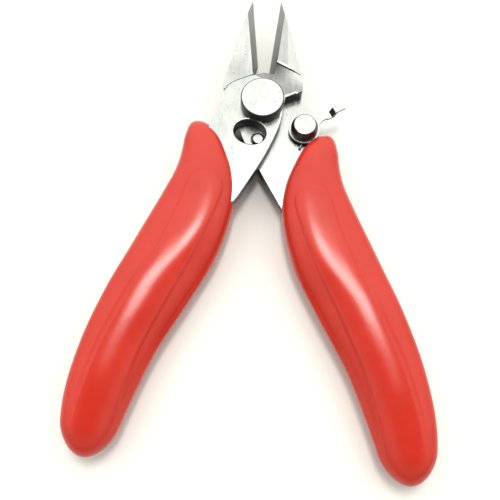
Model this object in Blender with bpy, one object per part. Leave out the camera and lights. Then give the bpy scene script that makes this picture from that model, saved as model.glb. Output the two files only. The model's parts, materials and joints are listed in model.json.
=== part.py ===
"""Mini flush cutter: two lapped arms on one rivet, dipped grips and a lock lever.

Every length at the top is in millimetres and every angle in degrees. The tool lies flat on
z = 0, with its jaws towards +Y. Each arm is drawn in its own closed pose, with the cutting
edge on x = 0 and the pivot at the origin, and an empty on the pivot axis then opens it.
"""

import math

import bmesh
import bpy
from mathutils import Matrix, Vector

MM = 0.001

# Whole tool
PIVOT_X = -0.1
PIVOT_Y = 19.17
MID_Z = 4.35
OPENING = 12.0
GAP = 0.3
OVERRUN = 1.0
FAR = 60.0

# Levels above the joint between the two arms
LAP = GAP / 2
PLATE = 2.2
JAW_TOP = 2.9

# Jaws
EDGE_X = 0.1
TIP_Y = 25.9
BEVEL_WIDTH = 1.45
FACET_TOP = (2.4, 16.9)
FACET_FOOT = (3.6, 8.2)
FACET_SLOPE = 0.1
STEP_LEFT = (1.55, 8.4)
STEP_RIGHT = (5.9, 6.7)
SCOOP_WALL = (0.12, 0.32)
SCOOP_RUN = 4.2
RAMP_TOP_Y = 9.6
RAMP_RUN = 2.7
EDGE_END_Y = 10.3
BEVEL_FOOT_Y = 7.2

# The handles' outer sides, from the boss down to the tang's end
FRONT_OUTER = [(-7.4, -0.6), (-8.1, -3.8), (-9.2, -8.0), (-11.2, -17.0), (-16.4, -45.0)]
REAR_OUTER = [(-8.0, -0.7), (-9.9, -5.1), (-10.7, -9.5), (-12.0, -18.0), (-16.4, -45.0)]
# Their inner sides, from the boss down to the grip
FRONT_INNER = [(3.85, 0.1), (3.65, -4.0), (1.9, -10.2), (-0.6, -16.4)]
REAR_INNER = [(3.85, 0.1), (4.25, -4.0), (3.25, -7.5), (1.95, -10.6), (-0.6, -16.4)]

# Pivot
SHANK_R = 2.0
HEAD_R = 3.9
HEAD_FLAT_R = 3.5
HEAD_TOP = 4.3
HEAD_CHAMFER = ((0.1, 0.2), (0.0, 0.5))
TAIL_R = 3.1
TAIL_HIGH = -3.2
TAIL_LOW = -4.1
TAIL_SHARES = (0.85, 0.6)
TAIL_SIDE = 0.6
WASHER_R = 3.9
WASHER_THICK = 0.4

# Return spring, in a ring-shaped pocket shared by both arms
SPRING_WIRE = 0.55
SPRING_R = 2.85
SPRING_LEVEL = 0.5
LEG_REACH = 4.9
LEG_ANGLE = 130.0
POCKET_DEPTH = 0.75

# Stop pin and its window
STOP_AT = (1.15, -6.25)
STOP_R = 1.0
STOP_TOP = 0.6
STOP_CHAMFER = 0.2
WINDOW_AT = (-1.35, -6.1)
WINDOW_HALF = (2.87, 2.3)
WINDOW_TURN = -8.0

# Lock lever
LOCK_AT = (-7.3, -5.15)
LOCK_SHANK_R = 1.2
LOCK_HEAD_R = 2.42
LOCK_FACE_R = 2.0
LOCK_HEAD_TOP = 2.9
LOCK_CHAMFER = 1.0
LOCK_TAIL_R = 2.0
LOCK_TAIL_FACE_R = 1.6
LOCK_TAIL_HIGH = 0.6
LOCK_WIRE = 0.45
EYE_R = 2.8
LEVER_LOW = -LAP + GAP + LOCK_WIRE + GAP
LEVER_THICK = 0.4
TAB_FROM = (4.8, 3.25)
TAB_TO = (7.05, 4.55)
TAB_WIDTH = 1.25
TAB_RISE = 0.85
TAB_LENGTH = 2.8
TAB_FOOT = 1.0
TAB_BEND = 0.65
LOCK_COIL_R = 1.95
LOCK_COIL_TURN = 300.0
LOCK_LEG_REACH = 3.6
LOCK_LEG_ANGLE = 249.5
LOCK_LEG_BEND = 0.6

# Grips
GRIP_SLIDE = 1.9
GRIP_CAP = 5.0
PAD_HEIGHT = 0.34
PAD_HALF = 3.1
PAD_SHIFT = 0.9
PAD_TOP_Y = -15.6
PAD_LOW_Y = -62.0
PAD_FADE = 12.0
# The section is squarer at the mouth than at the belly, where its top leans inward
MOUTH_POWER = 2.9
BELLY_POWER = 2.3
BELLY_FROM_TO = (22.0, 34.0)
LEAN = 0.13
LEAN_FROM_TO = (25.0, 38.0)
# How much deeper the underside is before the floor cuts it flat
SOLE = 0.45
# Down a grip: y, centre x, half width, half thickness without the pad
GRIP_STATIONS = [
    (-4.4, -10.9, 3.1, 2.7),
    (-8.0, -9.55, 3.5, 3.2),
    (-14.0, -8.15, 5.05, 3.7),
    (-20.0, -8.5, 6.4, 3.9),
    (-29.0, -10.7, 7.3, 4.1),
    (-38.0, -13.9, 7.0, 4.1),
    (-47.0, -16.8, 6.15, 4.05),
    (-56.0, -18.4, 5.2, 3.9),
    (-64.5, -18.7, 3.6, 3.4),
]
PAD_EDGE = 0.5
GRIP_RINGS = 34
GRIP_SIDES = 32

STEEL = (0.74, 0.75, 0.74)
DARK_STEEL = (0.35, 0.34, 0.33)
RED = (0.8, 0.06, 0.05)


# Scene and material helpers


def clear_scene():
    for obj in list(bpy.data.objects):
        bpy.data.objects.remove(obj, do_unlink=True)


def material(name, colour, roughness, metallic):
    made = bpy.data.materials.new(name)
    made.use_nodes = True
    shader = made.node_tree.nodes["Principled BSDF"]
    shader.inputs["Base Color"].default_value = (*colour, 1.0)
    shader.inputs["Roughness"].default_value = roughness
    shader.inputs["Metallic"].default_value = metallic
    return made


def new_object(name, mesh):
    obj = bpy.data.objects.new(name, mesh)
    bpy.context.scene.collection.objects.link(obj)
    return obj


def add_empty(name, at, turn=0.0, parent=None):
    obj = new_object(name, None)
    obj.location = Vector(at) * MM
    obj.rotation_euler.z = math.radians(turn)
    obj.parent = parent
    return obj


def finish(obj, parent, made, sharp=35.0):
    obj.parent = parent
    obj.data.materials.append(made)
    if obj.type == "MESH":
        obj.data.shade_smooth()
        obj.data.set_sharp_from_angle(angle=math.radians(sharp))


def to_mesh(name, bm):
    bmesh.ops.recalc_face_normals(bm, faces=bm.faces[:])
    mesh = bpy.data.meshes.new(name)
    bm.to_mesh(mesh)
    bm.free()
    return mesh


def as_cutter(obj, parent):
    obj.parent = parent
    obj.hide_render = True
    obj.display_type = "WIRE"
    return obj


def boolean(obj, other, operation="DIFFERENCE"):
    modifier = obj.modifiers.new(other.name, "BOOLEAN")
    modifier.operation = operation
    modifier.solver = "EXACT"
    modifier.object = other


# Outline helpers: each works on a list of (x, y) points


def spline(points, steps=5):
    """A Catmull-Rom curve through the points."""
    ends = [points[0], *points, points[-1]]
    curve = []
    for i in range(len(points) - 1):
        a, b, c, d = (Vector(p) for p in ends[i : i + 4])
        for k in range(steps):
            t = k / steps
            bend = (2 * a - 5 * b + 4 * c - d) * t**2 + (3 * b - a - 3 * c + d) * t**3
            curve.append(tuple((2 * b + (c - a) * t + bend) / 2))
    curve.append(tuple(points[-1]))
    return curve


def arc(centre, radius, start, end, steps):
    angles = [math.radians(start + (end - start) * k / steps) for k in range(steps + 1)]
    return [
        (centre[0] + radius * math.cos(a), centre[1] + radius * math.sin(a)) for a in angles
    ]


def grown(outline, distance):
    """The closed outline, moved outwards by the distance."""
    area = sum(
        a[0] * b[1] - b[0] * a[1] for a, b in zip(outline, outline[1:] + outline[:1])
    )
    side = 1 if area > 0 else -1
    moved = []
    for i, point in enumerate(outline):
        before = Vector(point) - Vector(outline[i - 1])
        after = Vector(outline[(i + 1) % len(outline)]) - Vector(point)
        normals = [Vector((e.y, -e.x)).normalized() * side for e in (before, after)]
        middle = (normals[0] + normals[1]).normalized()
        moved.append(tuple(Vector(point) + middle * distance / middle.dot(normals[0])))
    return moved


def prism(name, outline, low, high):
    """A straight solid over an outline, between two levels."""
    bm = bmesh.new()
    base = bm.faces.new([bm.verts.new((x * MM, y * MM, low * MM)) for x, y in outline])
    raised = bmesh.ops.extrude_face_region(bm, geom=[base])["geom"]
    lift = [v for v in raised if isinstance(v, bmesh.types.BMVert)]
    bmesh.ops.translate(bm, verts=lift, vec=(0, 0, (high - low) * MM))
    return new_object(name, to_mesh(name, bm))


def swept_profile(name, profile, start, end, reach):
    """A solid of constant profile along the line from start to end, run on by reach both ways.

    The profile's first value runs to the right of the line, and its second is the height.
    """
    along = (Vector(end) - Vector(start)).normalized()
    right = Vector((along.y, -along.x))
    bm = bmesh.new()
    loops = []
    for base in (Vector(start) - along * reach, Vector(end) + along * reach):
        spots = [base + right * across for across, _ in profile]
        heights = [height for _, height in profile]
        loops.append(
            [bm.verts.new((p.x * MM, p.y * MM, z * MM)) for p, z in zip(spots, heights)]
        )
    for i in range(len(profile)):
        j = (i + 1) % len(profile)
        bm.faces.new([loops[0][i], loops[0][j], loops[1][j], loops[1][i]])
    bm.faces.new(loops[0])
    bm.faces.new(loops[1])
    return new_object(name, to_mesh(name, bm))


def turned(name, profile, steps=40):
    """A solid of revolution about Z. The profile is (radius, height), from the top down."""
    bm = bmesh.new()
    points = [bm.verts.new((r * MM, 0, z * MM)) for r, z in profile]
    for a, b in zip(points, points[1:]):
        bm.edges.new([a, b])
    mesh = bpy.data.meshes.new(name)
    bm.to_mesh(mesh)
    bm.free()
    obj = new_object(name, mesh)
    screw = obj.modifiers.new("turn", "SCREW")
    screw.axis = "Z"
    screw.angle = 2 * math.pi
    screw.steps = steps
    screw.render_steps = steps
    screw.use_merge_vertices = True
    screw.merge_threshold = 0.000001
    return obj


def wire(name, points, diameter, sides=8):
    """A round wire with flat ends through the points."""
    curve = bpy.data.curves.new(name, "CURVE")
    curve.dimensions = "3D"
    curve.bevel_depth = diameter / 2 * MM
    curve.bevel_resolution = sides // 2 - 2
    curve.use_fill_caps = True
    path = curve.splines.new("POLY")
    path.points.add(len(points) - 1)
    for spot, point in zip(path.points, points):
        spot.co = (*(Vector(point) * MM), 1.0)
    return new_object(name, curve)


# Arms, drawn with the jaw on +X and the handle on -X


def arm_outline(outer_edge, bare_inner, jaw_root, slide):
    """The arm seen from above.

    outer_edge runs down the handle's outer side to the tang's end, bare_inner down its inner
    side to the grip, and jaw_root from the boss up to the foot of the cutting edge. slide is
    how far down the handle its grip starts.
    """
    jaw_side = spline([(1.6, 18.8), (3.3, 14.6), (4.9, 10.1), (6.7, 5.2), (6.85, 3.6)])
    shoulder = [(6.7, 3.35), (3.97, 1.8)]
    knee = [(-2.1, -19.6), (-4.2, -22.6), (-6.6, -29.0)]
    covered = [(x - slide / 2, y - slide) for x, y in knee]
    inner_edge = spline([*bare_inner, *covered, (-13.0, -47.0)])
    tang_end = [(-14.0, -48.6), (-16.2, -48.0)]
    boss = spline([(-7.2, 1.6), (-6.1, 3.3), (-3.1, 5.15), (-0.4, 6.3)])
    return [
        (EDGE_X, TIP_Y),
        *jaw_side,
        *shoulder,
        *inner_edge,
        *tang_end,
        *spline(outer_edge)[::-1],
        *boss,
        *jaw_root,
    ]


def lap_outline():
    """What the other arm's boss and handle take up at their own level, as far as the jaw."""
    joint = spline([(7.6, 2.7), (6.6, 3.6), (5.5, 4.75), (3.9, 5.5), (2.0, 6.15), (-0.2, 6.8)])
    right, left = joint[0], joint[-1]
    return [(FAR, right[1]), *joint, (-FAR, left[1]), (-FAR, -2 * FAR), (FAR, -2 * FAR)]


def bevel_profile(low):
    """The bevel's cutter, seen along the cutting edge: across, height."""
    rise = JAW_TOP - low
    slope = BEVEL_WIDTH / rise
    return [
        (EDGE_X - slope * OVERRUN, low - OVERRUN),
        (EDGE_X + BEVEL_WIDTH + slope * OVERRUN, JAW_TOP + OVERRUN),
        (-FAR, JAW_TOP + OVERRUN),
        (-FAR, low - OVERRUN),
    ]


def scoop_profile(above):
    """A short wall under the jaw's top, then a concave sweep down to the level plate."""
    wall_run, wall_drop = SCOOP_WALL
    run = SCOOP_RUN - wall_run
    drop = JAW_TOP - wall_drop - PLATE
    radius = (run**2 + drop**2) / (2 * drop)
    sweep = []
    steps = 8
    for k in range(steps + 1):
        left = run * (1 - k / steps)
        sweep.append((SCOOP_RUN - left, PLATE + radius - math.sqrt(radius**2 - left**2)))
    return [(0.0, above), (0.0, JAW_TOP), *sweep, (FAR, PLATE), (FAR, above)]


def ramp_profile(run, above):
    """A soft ramp from the jaw's top down to the plate, round at both ends."""
    drop = JAW_TOP - PLATE
    steps = 8
    eased = []
    for k in range(steps + 1):
        t = k / steps
        eased.append((run * t, JAW_TOP - drop * t * t * (3 - 2 * t)))
    return [(-0.01, JAW_TOP + 0.01), *eased[1:], (FAR, PLATE), (FAR, above), (-0.01, above)]


def flipped(obj):
    """Turns the drawing over, left to right."""
    bm = bmesh.new()
    bm.from_mesh(obj.data)
    bmesh.ops.transform(bm, matrix=Matrix.Diagonal((-1, 1, 1, 1)), verts=bm.verts[:])
    bmesh.ops.reverse_faces(bm, faces=bm.faces[:])
    bm.to_mesh(obj.data)
    bm.free()
    return obj


def jaw_cutters(name, low):
    """The bevel along the cutting edge and the shallow facet outside the jaw's flat top."""
    bevel = swept_profile(
        f"{name}_bevel_cut", bevel_profile(low), (0.0, BEVEL_FOOT_Y), (0.0, TIP_Y), OVERRUN
    )
    across = 12.0
    facet_profile = [
        (0.0, JAW_TOP),
        (0.0, JAW_TOP + OVERRUN),
        (across, JAW_TOP + OVERRUN),
        (across, JAW_TOP - across * FACET_SLOPE),
    ]
    facet = swept_profile(f"{name}_facet_cut", facet_profile, FACET_FOOT, FACET_TOP, across)
    return [bevel, facet]


def disc(centre, radius, steps=32):
    return arc(centre, radius, 0.0, 360.0 - 360.0 / steps, steps - 1)


def window_outline():
    """The oval window in the front arm that the stop pin stands in."""
    turn = Matrix.Rotation(math.radians(WINDOW_TURN), 2)
    half_wide, half_high = WINDOW_HALF
    ring = [turn @ Vector((x * half_wide, y * half_high)) for x, y in disc((0.0, 0.0), 1.0)]
    return [(WINDOW_AT[0] + p.x, WINDOW_AT[1] + p.y) for p in ring]


def on_circle(radius, angle):
    return Vector((math.cos(math.radians(angle)), math.sin(math.radians(angle)))) * radius


def leg_swing():
    """The angle, seen from the pivot, between a spring leg's end and its tangent point."""
    return math.degrees(math.acos(SPRING_R / LEG_REACH))


def pocket_outlines():
    """The spring's ring-shaped pocket and the groove of the leg that this arm holds."""
    ring = disc((0.0, 0.0), SPRING_R + SPRING_WIRE / 2 + GAP)
    tangent = on_circle(SPRING_R, LEG_ANGLE + leg_swing())
    end = on_circle(LEG_REACH, LEG_ANGLE)
    along = (end - tangent).normalized()
    side = Vector((along.y, -along.x)) * (SPRING_WIRE / 2 + GAP)
    stop = end + along * GAP
    groove = [tangent + side, stop + side, stop - side, tangent - side]
    return ring, [tuple(p) for p in groove]


def cut_all(obj, cutters, empty):
    for cutter in cutters:
        boolean(obj, as_cutter(cutter, empty))


def pocket_cutters(name, low, high):
    ring, groove = pocket_outlines()
    return [
        prism(f"{name}_ring_pocket", ring, low, high),
        prism(f"{name}_leg_groove", groove, low, high),
    ]


def front_arm(empty, steel):
    """The arm on top: left handle and right jaw."""
    jaw_root = [(EDGE_X, BEVEL_FOOT_Y)]
    outline = arm_outline(FRONT_OUTER, FRONT_INNER, jaw_root, 0.0)
    obj = prism("front_arm", outline, -PLATE, JAW_TOP)
    over = JAW_TOP + OVERRUN
    cutters = [
        prism("front_lap_cut", lap_outline(), -PLATE - OVERRUN, LAP),
        swept_profile("front_scoop_cut", scoop_profile(over), STEP_LEFT, STEP_RIGHT, FAR),
        *jaw_cutters("front", -PLATE),
        prism("front_bore", disc((0.0, 0.0), SHANK_R + GAP), -over, over),
        prism("front_window", window_outline(), -over, over),
        *pocket_cutters("front", -OVERRUN, LAP + POCKET_DEPTH),
    ]
    cut_all(obj, cutters, empty)
    finish(obj, empty, steel)
    return obj


def rear_arm(empty, steel):
    """The arm below: right handle and left jaw. It is drawn like the front one and turned over."""
    jaw_root = [(1.1, 6.3), (1.3, 7.2), (EDGE_X, EDGE_END_Y)]
    outline = arm_outline(REAR_OUTER, REAR_INNER, jaw_root, GRIP_SLIDE)
    obj = prism("rear_arm", outline, -PLATE, JAW_TOP)
    over = JAW_TOP + OVERRUN
    cutters = [
        prism("rear_lap_cut", lap_outline(), -LAP, over),
        swept_profile(
            "rear_ramp_cut",
            ramp_profile(RAMP_RUN, over),
            (0.0, RAMP_TOP_Y),
            (OVERRUN, RAMP_TOP_Y),
            FAR,
        ),
        *jaw_cutters("rear", -PLATE),
        prism("rear_bore", disc((0.0, 0.0), SHANK_R + GAP), -over, over),
        prism("rear_stop_hole", disc(STOP_AT, STOP_R + GAP), -over, over),
        prism("rear_lock_hole", disc(LOCK_AT, LOCK_SHANK_R + GAP), -over, over),
        *pocket_cutters("rear", -LAP - POCKET_DEPTH, OVERRUN),
    ]
    for drawn in (obj, *cutters):
        flipped(drawn)
    cut_all(obj, cutters, empty)
    finish(obj, empty, steel)
    return obj


# Pivot, spring and stop


def pivot_rivet(empty, steel):
    profile = [
        (0.0, HEAD_TOP),
        (HEAD_FLAT_R, HEAD_TOP),
        *[(HEAD_R - across, HEAD_TOP - down) for across, down in HEAD_CHAMFER],
        (HEAD_R, PLATE + GAP),
        (SHANK_R, PLATE + GAP),
        (SHANK_R, TAIL_HIGH),
        (TAIL_R, TAIL_HIGH),
        (TAIL_R * TAIL_SHARES[0], TAIL_HIGH - TAIL_SIDE),
        (TAIL_R * TAIL_SHARES[1], TAIL_LOW),
        (0.0, TAIL_LOW),
    ]
    finish(turned("pivot_rivet", profile, 48), empty, steel)


def pivot_washer(empty, steel):
    """The burr washer under the rivet's formed tail."""
    high = -PLATE - GAP
    low = high - WASHER_THICK
    obj = prism("pivot_washer", disc((0.0, 0.0), WASHER_R, 48), low, high)
    bore = prism("washer_bore", disc((0.0, 0.0), SHANK_R + GAP), low - OVERRUN, high + OVERRUN)
    cut_all(obj, [bore], empty)
    finish(obj, empty, steel)


def return_spring(empty, dark):
    """One coil round the rivet, with a leg in each arm's groove."""
    half = OPENING / 2
    swing = leg_swing()
    front_end = LEG_ANGLE - half
    rear_end = 180.0 - LEG_ANGLE + half + 720.0
    start = front_end + swing
    stop = rear_end - swing
    steps = 40
    points = [(*on_circle(LEG_REACH, front_end), SPRING_LEVEL)]
    for k in range(steps + 1):
        share = k / steps
        spot = on_circle(SPRING_R, start + (stop - start) * share)
        points.append((*spot, SPRING_LEVEL * (1 - 2 * share)))
    points.append((*on_circle(LEG_REACH, rear_end), -SPRING_LEVEL))
    finish(wire("return_spring", points, SPRING_WIRE), empty, dark)


def stop_pin(empty, steel):
    profile = [
        (0.0, STOP_TOP),
        (STOP_R - STOP_CHAMFER, STOP_TOP),
        (STOP_R, STOP_TOP - STOP_CHAMFER),
        (STOP_R, -PLATE),
        (0.0, -PLATE),
    ]
    obj = turned("stop_pin", profile, 28)
    obj.location = Vector((-STOP_AT[0], STOP_AT[1], 0.0)) * MM
    finish(obj, empty, steel)


# Lock: everything here is measured from the lock rivet's axis


def lock_rivet(empty, steel):
    under = LEVER_LOW + LEVER_THICK + GAP
    profile = [
        (0.0, LOCK_HEAD_TOP),
        (LOCK_FACE_R, LOCK_HEAD_TOP),
        (LOCK_HEAD_R, LOCK_HEAD_TOP - LOCK_CHAMFER),
        (LOCK_HEAD_R, under),
        (LOCK_SHANK_R, under),
        (LOCK_SHANK_R, -PLATE - GAP),
        (LOCK_TAIL_R, -PLATE - GAP),
        (LOCK_TAIL_FACE_R, -PLATE - GAP - LOCK_TAIL_HIGH),
        (0.0, -PLATE - GAP - LOCK_TAIL_HIGH),
    ]
    finish(turned("lock_rivet", profile, 36), empty, steel)


def lock_spring(empty, dark):
    """A coil on the lock rivet, under the lever's eye. Its leg turns out and ends past the eye."""
    level = -LAP + GAP + LOCK_WIRE / 2
    steps = 24
    points = []
    for k in range(steps):
        angle = LOCK_LEG_ANGLE - LOCK_COIL_TURN * (1 - k / steps)
        points.append((*on_circle(LOCK_COIL_R, angle), level))
    out = on_circle(1.0, LOCK_LEG_ANGLE)
    along = on_circle(1.0, LOCK_LEG_ANGLE + 90)
    centre = out * (LOCK_COIL_R + LOCK_LEG_BEND)
    for turn in (0.0, 30.0, 60.0, 90.0):
        swing = on_circle(LOCK_LEG_BEND, turn)
        points.append((*(centre - out * swing.x + along * swing.y), level))
    points.append((*(out * LOCK_LEG_REACH + along * LOCK_LEG_BEND), level))
    finish(wire("lock_spring", points, LOCK_WIRE), empty, dark)


def lever_outline():
    """The eye and the arm, up to the line where the tab bends up."""
    eye = arc((0.0, 0.0), EYE_R, 84.0, 378.0, 30)
    return [
        *eye,
        *spline([(2.95, 1.3), (3.5, 2.05), (4.2, 2.55)]),
        (5.11, 2.71),
        (4.49, 3.79),
        *spline([(3.5, 3.75), (2.2, 3.35), (0.9, 2.85)]),
    ]


def tab_profile():
    """The tab from the side: a foot in the arm, a riser and a level finger piece."""
    low = LEVER_LOW
    high = LEVER_LOW + LEVER_THICK
    inner = -0.1
    outer = 0.35
    return [
        (-TAB_FOOT, low),
        (outer, low),
        (outer + TAB_BEND, low + TAB_RISE),
        (TAB_LENGTH, low + TAB_RISE),
        (TAB_LENGTH, high + TAB_RISE),
        (inner + TAB_BEND, high + TAB_RISE),
        (inner, high),
        (-TAB_FOOT, high),
    ]


def lock_lever(empty, steel):
    high = LEVER_LOW + LEVER_THICK
    obj = prism("lock_lever", lever_outline(), LEVER_LOW, high)
    hole_outline = disc((0.0, 0.0), LOCK_SHANK_R + GAP)
    hole = prism("lever_hole", hole_outline, LEVER_LOW - OVERRUN, high + OVERRUN)
    out = Vector(TAB_TO) - Vector(TAB_FROM)
    side = Vector((out.y, -out.x)).normalized() * TAB_WIDTH / 2
    tab = swept_profile(
        "lever_tab", tab_profile(), Vector(TAB_FROM) + side, Vector(TAB_FROM) - side, 0.0
    )
    boolean(obj, as_cutter(tab, empty), "UNION")
    cut_all(obj, [hole], empty)
    finish(obj, empty, steel)


# Grips


def station(y, column):
    """One value of the grip at y, on a smooth curve through its stations."""
    rows = GRIP_STATIONS
    i = 0
    while i < len(rows) - 2 and y < rows[i + 1][0]:
        i += 1
    slopes = []
    for k in (i, i + 1):
        a = rows[max(k - 1, 0)]
        b = rows[min(k + 1, len(rows) - 1)]
        slopes.append((b[column] - a[column]) / (b[0] - a[0]))
    span = rows[i + 1][0] - rows[i][0]
    t = min(max((y - rows[i][0]) / span, 0.0), 1.0)
    start = rows[i][column] * (1 + 2 * t) * (1 - t) ** 2 + slopes[0] * span * t * (1 - t) ** 2
    end = rows[i + 1][column] * (3 - 2 * t) * t**2 + slopes[1] * span * (t - 1) * t**2
    return start + end


def smooth_step(value, low, high):
    t = min(max((value - low) / (high - low), 0.0), 1.0)
    return t * t * (3 - 2 * t)


def pad(across, y):
    """The raised pad's height over the plain grip. Its upper end is round, its lower end fades."""
    above = max(0.0, y - (PAD_TOP_Y - PAD_HALF))
    distance = math.hypot(across - PAD_SHIFT, above) - PAD_HALF
    fade = smooth_step(y, PAD_LOW_Y, PAD_LOW_Y + PAD_FADE)
    return PAD_HEIGHT * fade * (1 - smooth_step(distance, -PAD_EDGE, PAD_EDGE))


def grip_ring(y, cap):
    """One section of the grip across Y. cap shrinks it where the ends are round."""
    centre = station(y, 1)
    width = station(y, 2)
    thick = station(y, 3)
    power = MOUTH_POWER + (BELLY_POWER - MOUTH_POWER) * smooth_step(-y, *BELLY_FROM_TO)
    lean = LEAN * smooth_step(-y, *LEAN_FROM_TO)
    ring = []
    for k in range(GRIP_SIDES):
        angle = 2 * math.pi * k / GRIP_SIDES
        c, s = math.cos(angle), math.sin(angle)
        x = math.copysign(abs(c) ** (2 / power), c) * width * cap
        z = math.copysign(abs(s) ** (2 / power), s) * thick * cap
        z += (pad(x, y) - lean * x * cap) * smooth_step(s, 0.0, 0.5)
        z -= SOLE * smooth_step(-s, 0.0, 0.5) * cap
        ring.append((centre + x, y, max(z, -MID_Z)))
    return ring


def grip_body(name):
    """The grip as a loft of rings, with its ends closed by fans."""
    top = GRIP_STATIONS[0][0]
    low = GRIP_STATIONS[-1][0]
    rings = []
    for k in range(GRIP_RINGS):
        share = 0.5 - 0.5 * math.cos(math.pi * (k + 0.5) / GRIP_RINGS)
        y = top + (low - top) * share
        inside = min(top - y, y - low, GRIP_CAP)
        cap = math.sqrt(1 - (1 - inside / GRIP_CAP) ** 2)
        rings.append(grip_ring(y, cap))
    bm = bmesh.new()
    loops = [[bm.verts.new(Vector(p) * MM) for p in ring] for ring in rings]
    for a, b in zip(loops, loops[1:]):
        for i in range(GRIP_SIDES):
            j = (i + 1) % GRIP_SIDES
            bm.faces.new([a[i], a[j], b[j], b[i]])
    for loop, y in ((loops[0], top), (loops[-1], low)):
        tip = bm.verts.new(Vector((station(y, 1), y, 0.0)) * MM)
        for i in range(GRIP_SIDES):
            bm.faces.new([loop[i], loop[(i + 1) % GRIP_SIDES], tip])
    return new_object(name, to_mesh(name, bm))


def tang_cavity(name, edges, slide, low, high):
    """The space that the arm's tang takes up in the grip, with the gap all round."""
    shape = grown(arm_outline(*edges, [(EDGE_X, BEVEL_FOOT_Y)], slide), GAP)
    return prism(name, shape, low - GAP, high + GAP)


def left_grip(empty, vinyl):
    obj = grip_body("left_grip")
    cavity = tang_cavity("left_cavity", (FRONT_OUTER, FRONT_INNER), 0.0, LAP, PLATE)
    cut_all(obj, [cavity], empty)
    finish(obj, empty, vinyl, 50.0)


def right_grip(empty, vinyl):
    """The same grip turned over, a little further down its handle."""
    obj = grip_body("right_grip")
    obj.data.transform(Matrix.Translation((0, -GRIP_SLIDE * MM, 0)))
    cavity = tang_cavity("right_cavity", (REAR_OUTER, REAR_INNER), GRIP_SLIDE, -PLATE, -LAP)
    eye_room = prism("right_eye_room", disc(LOCK_AT, EYE_R + GAP), LEVER_LOW - GAP, MID_Z)
    cut_all(flipped(obj), [flipped(cavity), flipped(eye_room)], empty)
    finish(obj, empty, vinyl, 50.0)


def main():
    clear_scene()
    steel = material("satin_steel", STEEL, 0.28, 1.0)
    dark = material("spring_steel", DARK_STEEL, 0.4, 1.0)
    vinyl = material("red_vinyl", RED, 0.25, 0.0)

    pivot = add_empty("pivot_axis", (PIVOT_X, PIVOT_Y, MID_Z))
    front = add_empty("front_side", (0, 0, 0), -OPENING / 2, pivot)
    rear = add_empty("rear_side", (0, 0, 0), OPENING / 2, pivot)
    lock = add_empty("lock_axis", (-LOCK_AT[0], LOCK_AT[1], 0), -OPENING / 2, rear)

    front_arm(front, steel)
    rear_arm(rear, steel)
    pivot_rivet(pivot, steel)
    pivot_washer(pivot, steel)
    return_spring(pivot, dark)
    stop_pin(rear, steel)
    lock_rivet(lock, steel)
    lock_spring(lock, dark)
    lock_lever(lock, steel)
    left_grip(front, vinyl)
    right_grip(rear, vinyl)


main()
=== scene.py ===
"""Looks of the mini flush cutter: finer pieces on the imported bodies, camera, floor and light.

Lengths are in millimetres and angles in degrees until a piece is placed. Each arm is drawn
in its closed pose, with the cutting edge along Y just beside x = 0 and the pivot at the origin.
The rear arm and the right grip are drawn as a front arm and a left grip, then mirrored.
"""

import json
import math

import bmesh
import bpy
from mathutils import Matrix, Vector


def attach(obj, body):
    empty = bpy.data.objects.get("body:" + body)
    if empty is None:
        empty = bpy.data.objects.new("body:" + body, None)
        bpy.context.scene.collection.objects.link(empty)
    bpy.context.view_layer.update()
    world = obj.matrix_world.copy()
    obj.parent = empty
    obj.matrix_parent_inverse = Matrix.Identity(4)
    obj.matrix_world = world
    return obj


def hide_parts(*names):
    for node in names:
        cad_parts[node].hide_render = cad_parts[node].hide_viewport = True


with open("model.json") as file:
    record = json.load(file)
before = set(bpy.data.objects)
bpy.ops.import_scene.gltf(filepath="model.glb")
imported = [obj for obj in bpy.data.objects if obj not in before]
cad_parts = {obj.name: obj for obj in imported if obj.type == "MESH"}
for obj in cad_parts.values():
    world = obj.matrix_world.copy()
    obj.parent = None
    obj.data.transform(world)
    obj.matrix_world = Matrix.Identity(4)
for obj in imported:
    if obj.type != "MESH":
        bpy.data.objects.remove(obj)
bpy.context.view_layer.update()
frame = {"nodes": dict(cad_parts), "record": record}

MM = 0.001
JOINTS = {joint["name"]: joint for joint in frame["record"]["behaviour"]["joints"]}
PIVOT = Vector(JOINTS["jaw_hinge"]["pos_m"])
OPENING = JOINTS["jaw_hinge"]["range_deg"][1]
LOCK_SPOT = JOINTS["lock_hinge"]["pos_m"]
# The floor's level, from the pivot
FLOOR = -PIVOT.z / MM

# Levels from the joint between the two arms
PLATE = 2.2
JAW_TOP = 2.9
# Half the gap between the arms, and the gap under a piece that sits on another
LAP = 0.02
SEAT = 0.03
# How far a cutter runs past the solid, a length beyond the whole tool, and a hair's breadth
OVERRUN = 1.0
FAR = 60.0
HAIR = 0.01

# How finely curves are drawn
ROUND_STEPS = 96
PROFILE_STEPS = 24
SPLINE_STEPS = 12
CORNER_STEPS = 4
RIM_STEPS = 8
EYE_STEPS = 72
COIL_STEPS = 60
WIRE_RESOLUTION = 6
# Faces within this angle of each other are one face. Edges past the second angle are rounded.
FLAT_ANGLE = 0.5
SHARP_ANGLE = 32.0
MERGE_DISTANCE = 0.004

# Jaws
EDGE_X = 0.1
TIP_Y = 25.9
JAW_SIDE = [(1.6, 18.8), (3.3, 14.6), (4.9, 10.1), (6.7, 5.2), (6.85, 3.6)]
SHOULDER = [(6.7, 3.35), (3.97, 1.8)]
EDGE_END_Y = 10.3
BEVEL_FOOT_Y = 7.2
FRONT_JAW_ROOT = [(EDGE_X, BEVEL_FOOT_Y)]
REAR_JAW_ROOT = [(1.1, 6.3), (1.3, 7.2), (EDGE_X, EDGE_END_Y)]
BEVEL_WIDTH = 1.45
FACET_TOP = (2.4, 16.9)
FACET_FOOT = (3.6, 8.2)
FACET_SLOPE = 0.1
FACET_REACH = 12.0
EDGE_ROUND = 0.14

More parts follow.
